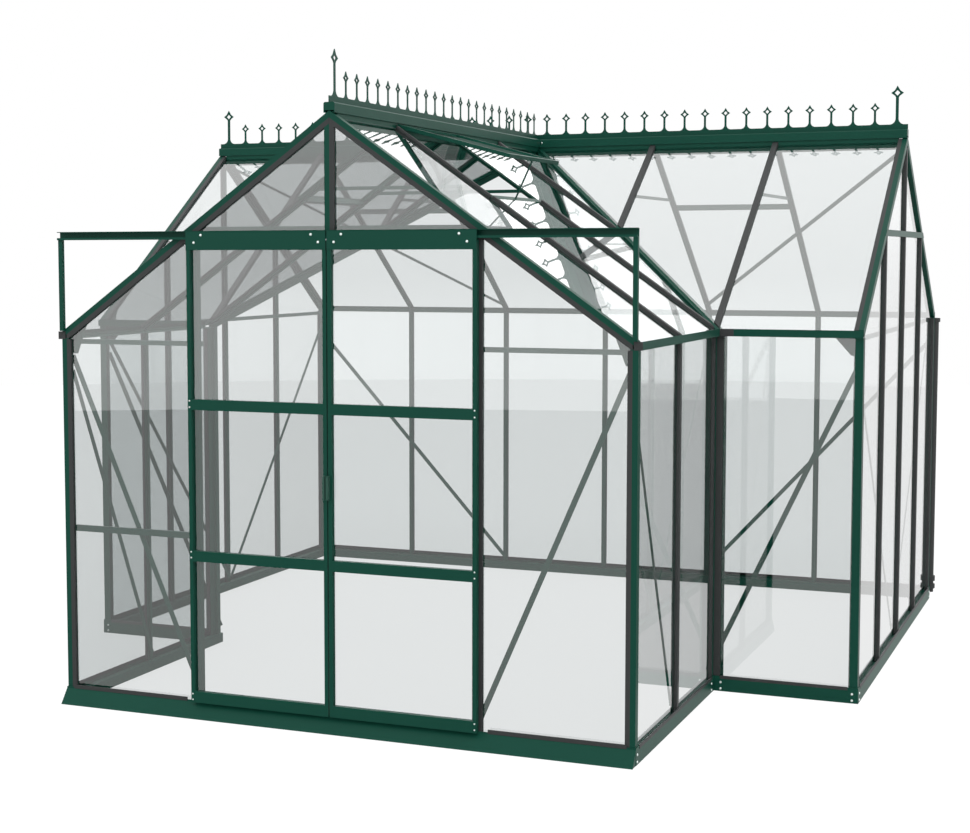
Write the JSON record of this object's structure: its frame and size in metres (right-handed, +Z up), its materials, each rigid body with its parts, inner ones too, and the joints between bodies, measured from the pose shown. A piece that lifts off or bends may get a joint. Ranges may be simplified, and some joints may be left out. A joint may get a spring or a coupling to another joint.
{
  "type": "glass greenhouse",
  "caption": "Glass greenhouse on a T-shaped plan with a gabled front wing, a pair of sliding doors, roof vents and pierced ridge cresting.",
  "frame": {"origin": "middle of the doorway on the ground, on the bay line of the front gable wall", "axes": "+X to the right along the front, +Y into the house, +Z up"},
  "size_m": [3.771, 3.8659, 2.705],
  "materials": {
    "frame_green": "satin powder coat",
    "capping_dark": "matte",
    "clear_glass": "polished",
    "roller_nylon": "matte",
    "handle_plastic": "satin"
  },
  "bodies": {
    "house": {"front_base_rail": "frame_green", "wing_side_rails": "frame_green", "main_gable_rails": "frame_green", "main_long_rails": "frame_green", "threshold_ramp": "frame_green", "outer_corner_posts": "frame_green", "inner_corner_posts": "frame_green", "door_jambs": "frame_green", "wing_wall_bars": "frame_green", "main_wall_bars": "frame_green", "wing_eaves": "frame_green", "shoulder_eaves": "frame_green", "rear_eave": "frame_green", "front_gable_rafters": "frame_green", "main_gable_rafters": "frame_green", "wing_roof_bars": "frame_green", "main_roof_bars": "frame_green", "valley_rafters": "frame_green", "wing_ridge": "frame_green", "main_ridge": "frame_green", "wing_cresting": "frame_green", "main_cresting": "frame_green", "collar_ties": "frame_green", "gable_transoms": "frame_green", "gable_eave_bars": "frame_green", "low_panel_bar": "frame_green", "gusset_plates": "frame_green", "wall_braces": "frame_green", "roof_braces": "frame_green", "vent_sills": "frame_green", "vent_sashes": "frame_green", "vent_stay": "frame_green", "door_track": "frame_green", "track_end_posts": "frame_green", "wall_capping_strips": "capping_dark", "roof_capping_strips": "capping_dark", "gutter_caps": "capping_dark", "downpipe": "capping_dark", "wing_wall_glass": "clear_glass", "main_wall_glass": "clear_glass", "wing_roof_glass": "clear_glass", "main_roof_glass": "clear_glass", "vent_glass": "clear_glass"},
    "left_leaf": {"left_door_frame": "frame_green", "left_door_board": "frame_green", "left_door_glass": "clear_glass", "left_door_rollers": "roller_nylon", "left_door_handle": "handle_plastic"},
    "right_leaf": {"right_door_frame": "frame_green", "right_door_board": "frame_green", "right_door_glass": "clear_glass", "right_door_rollers": "roller_nylon", "right_door_handle": "handle_plastic"}
  },
  "joints": [
    {"name": "left_door_slide", "type": "slide", "parent": "house", "child": "left_leaf", "axis": [-1, 0, 0], "range_m": [0, 0.6]},
    {"name": "right_door_slide", "type": "slide", "parent": "house", "child": "right_leaf", "axis": [1, 0, 0], "range_m": [0, 0.6]}
  ]
}
